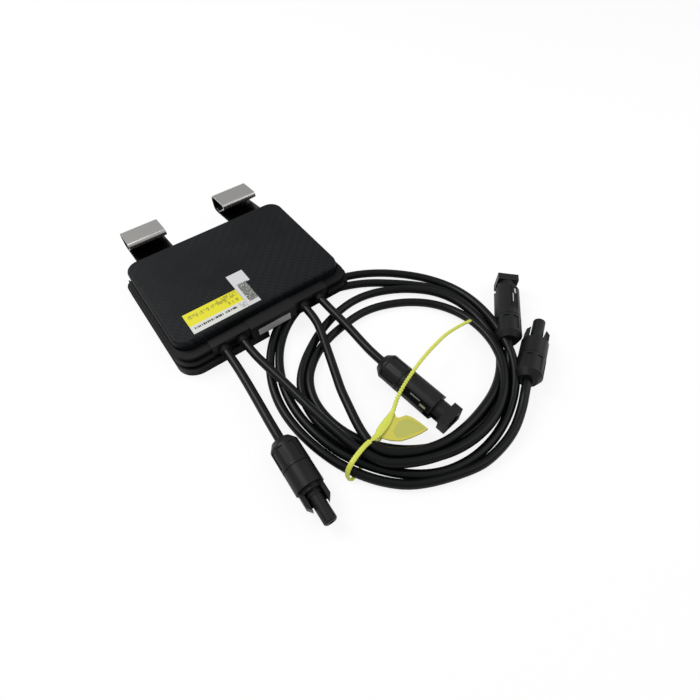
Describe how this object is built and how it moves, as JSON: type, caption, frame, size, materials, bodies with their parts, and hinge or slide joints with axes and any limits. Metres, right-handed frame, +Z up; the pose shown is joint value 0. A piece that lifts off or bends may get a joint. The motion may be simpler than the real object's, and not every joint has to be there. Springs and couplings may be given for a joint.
{
  "type": "solar power optimizer",
  "caption": "Module-level power converter for a solar module: flat black housing with frame clips, short and long leads, and weatherproof connectors on a tied coil.",
  "frame": {"origin": "on the underside of the housing, near the middle of the housing with its clips", "axes": "+X along the housing's width, +Y from the leads to the clips, +Z up out of the cover"},
  "size_m": [0.2425, 0.308, 0.0285],
  "materials": {
    "tray_plastic": "matte",
    "cover_plastic": "matte, fine moulded weave",
    "block_plastic": "matte",
    "connector_plastic": "satin",
    "lead_jacket": "satin",
    "grommet_rubber": "satin",
    "seal_rubber": "matte",
    "clip_steel": "satin",
    "screw_steel": "satin",
    "copper": "bare copper",
    "winding_copper": "enamelled",
    "contact_metal": "tinned",
    "board_green": "satin",
    "ferrite": "matte",
    "capacitor_metal": "satin",
    "device_plastic": "matte",
    "spreader_aluminium": "milled",
    "pad_rubber": "matte",
    "label_yellow": "satin foil",
    "label_grey": "satin foil",
    "label_silver": "satin foil",
    "tie_plastic": "translucent nylon"
  },
  "bodies": {
    "housing": {"base_tray": "tray_plastic", "cover": "cover_plastic", "cover_gasket": "seal_rubber", "housing_screws": "screw_steel", "connection_block": "block_plastic", "cable_grommet_outer_left": "grommet_rubber", "cable_grommet_inner_left": "grommet_rubber", "cable_grommet_inner_right": "grommet_rubber", "cable_grommet_outer_right": "grommet_rubber", "lead_cores": "copper", "terminal_lugs": "copper", "circuit_board": "board_green", "board_screws": "screw_steel", "inductor_core": "ferrite", "inductor_winding": "winding_copper", "filter_choke": "ferrite", "capacitors": "capacitor_metal", "power_transistors": "device_plastic", "heat_spreader": "spreader_aluminium", "thermal_pads": "pad_rubber", "pin_header": "device_plastic", "control_module": "board_green", "large_label": "label_yellow", "small_label": "label_grey", "front_label": "label_silver", "input_lead_left": "lead_jacket", "input_lead_right": "lead_jacket", "output_lead_left": "lead_jacket", "output_lead_right": "lead_jacket", "output_tail_socket": "lead_jacket", "output_tail_plug": "lead_jacket", "cable_tie": "tie_plastic", "lead_coil": "lead_jacket", "input_plug_body": "connector_plastic", "input_plug_o_ring": "seal_rubber", "input_plug_contact": "contact_metal", "input_plug_seal": "seal_rubber", "input_socket_body": "connector_plastic", "input_socket_contact": "contact_metal", "input_socket_seal": "seal_rubber", "output_socket_body": "connector_plastic", "output_socket_contact": "contact_metal", "output_socket_seal": "seal_rubber", "output_plug_body": "connector_plastic", "output_plug_o_ring": "seal_rubber", "output_plug_contact": "contact_metal", "output_plug_seal": "seal_rubber"},
    "left_clip": {"clip_left": "clip_steel"},
    "right_clip": {"clip_right": "clip_steel"},
    "input_plug_nut_body": {"input_plug_nut": "connector_plastic"},
    "input_socket_nut_body": {"input_socket_nut": "connector_plastic"},
    "output_socket_nut_body": {"output_socket_nut": "connector_plastic"},
    "output_plug_nut_body": {"output_plug_nut": "connector_plastic"}
  },
  "joints": [
    {"name": "left_clip_slide", "type": "slide", "parent": "housing", "child": "left_clip", "axis": [0, 1, 0], "range_m": [0, 0.018]},
    {"name": "right_clip_slide", "type": "slide", "parent": "housing", "child": "right_clip", "axis": [0, 1, 0], "range_m": [0, 0.018]},
    {"name": "input_plug_nut_turn", "type": "hinge", "parent": "housing", "child": "input_plug_nut_body", "pos_m": [-0.0446, -0.1525, 0.0109], "axis": [-0.0502, -0.9976, -0.0482], "range_deg": [0, 360]},
    {"name": "input_socket_nut_turn", "type": "hinge", "parent": "housing", "child": "input_socket_nut_body", "pos_m": [0.0409, -0.1448, 0.0098], "axis": [0.1116, -0.9937, -0.01], "range_deg": [0, 360]},
    {"name": "output_socket_nut_turn", "type": "hinge", "parent": "housing", "child": "output_socket_nut_body", "pos_m": [0.1218, -0.1833, 0.0101], "axis": [0.7277, 0.6857, -0.017], "range_deg": [0, 360]},
    {"name": "output_plug_nut_turn", "type": "hinge", "parent": "housing", "child": "output_plug_nut_body", "pos_m": [0.1062, -0.2129, 0.0109], "axis": [0.8588, 0.5101, -0.0481], "range_deg": [0, 360]}
  ]
}
